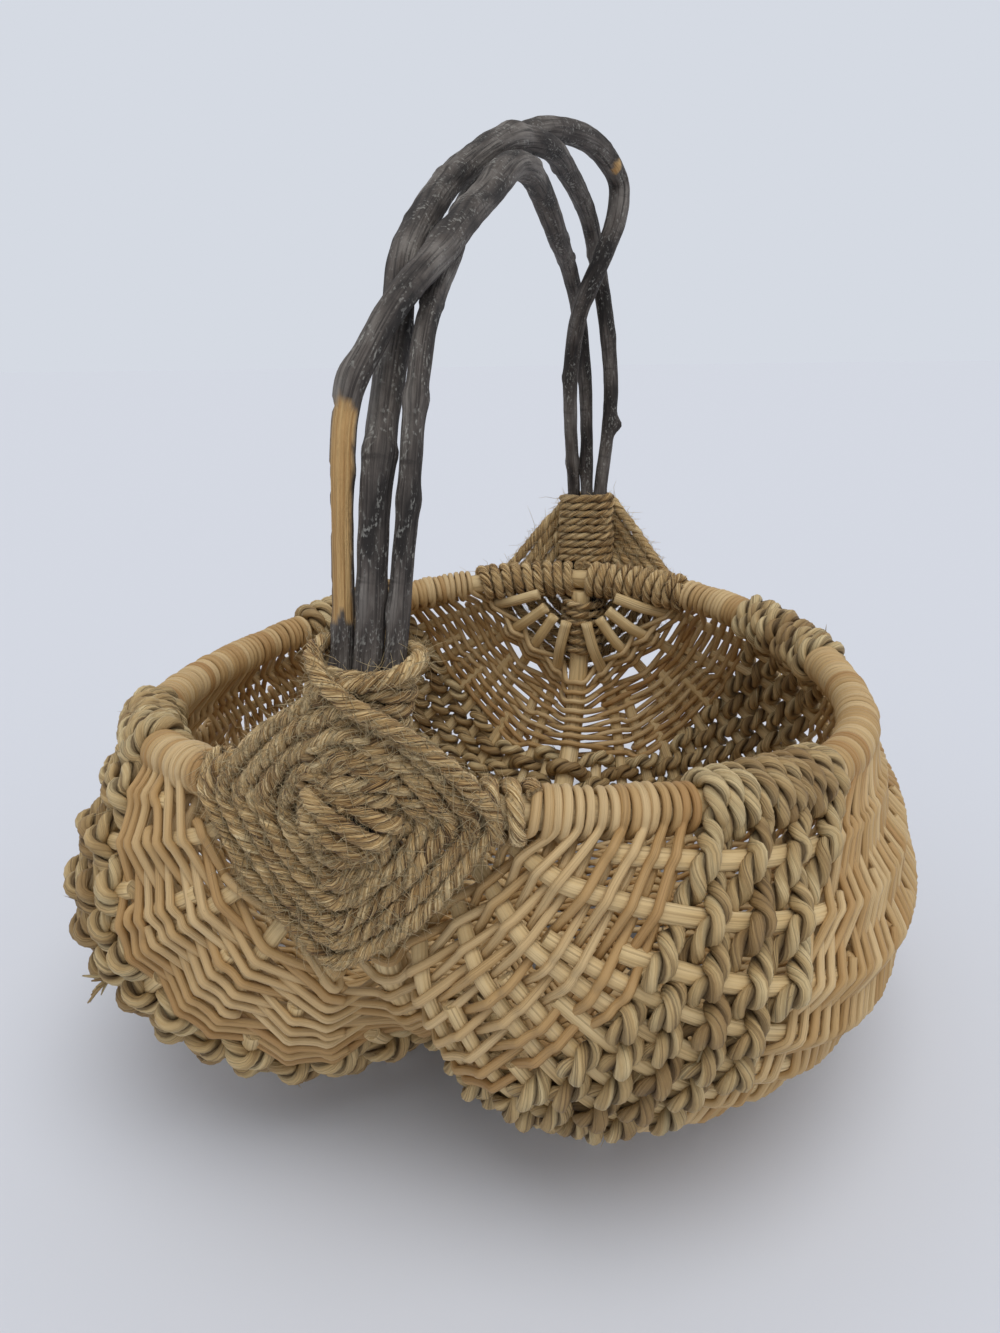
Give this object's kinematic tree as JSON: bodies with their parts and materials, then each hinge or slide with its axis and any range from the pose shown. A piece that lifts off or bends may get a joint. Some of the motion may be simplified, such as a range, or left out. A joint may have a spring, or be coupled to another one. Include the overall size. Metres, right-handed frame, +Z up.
{
  "type": "buttocks basket",
  "caption": "Two-lobed woven rib basket with a wrapped round rim, a cleft along its keel and a high fixed handle of twisted branches held by diamond cord lashings.",
  "frame": {"origin": "centre of the bounding box on the floor plane", "axes": "+Z up from the floor, +Y from the front lashing to the rear lashing along the handle, +X to the right lobe seen from the front"},
  "size_m": [0.2594, 0.2659, 0.2873],
  "materials": {
    "hoop_wood": "bare bent wood",
    "rib_reed": "bare round reed",
    "round_reed": "satin natural reed",
    "seagrass": "dry twisted leaf",
    "jute": "hairy twine",
    "bark": "rough bark"
  },
  "bodies": {
    "root": {"rim_hoop": "hoop_wood", "keel": "hoop_wood", "right_rib_1": "rib_reed", "right_rib_2": "rib_reed", "right_rib_3": "rib_reed", "right_rib_4": "rib_reed", "right_rib_5": "rib_reed", "right_rib_6": "rib_reed", "right_rib_7": "rib_reed", "right_rib_8": "rib_reed", "right_rib_9": "rib_reed", "right_rib_10": "rib_reed", "right_rib_11": "rib_reed", "right_rib_12": "rib_reed", "left_rib_1": "rib_reed", "left_rib_2": "rib_reed", "left_rib_3": "rib_reed", "left_rib_4": "rib_reed", "left_rib_5": "rib_reed", "left_rib_6": "rib_reed", "left_rib_7": "rib_reed", "left_rib_8": "rib_reed", "left_rib_9": "rib_reed", "left_rib_10": "rib_reed", "left_rib_11": "rib_reed", "left_rib_12": "rib_reed", "front_reed_weave": "round_reed", "front_seagrass_weave": "seagrass", "middle_reed_weave": "round_reed", "rear_seagrass_weave": "seagrass", "rear_reed_weave": "round_reed", "handle_branch_left": "bark", "handle_branch_centre": "bark", "handle_branch_right": "bark", "front_eye_lashing": "jute", "front_neck_lashing": "jute", "front_left_rim_lashing": "jute", "front_right_rim_lashing": "jute", "rear_eye_lashing": "jute", "rear_neck_lashing": "jute", "rear_left_rim_lashing": "jute", "rear_right_rim_lashing": "jute"}
  },
  "joints": []
}
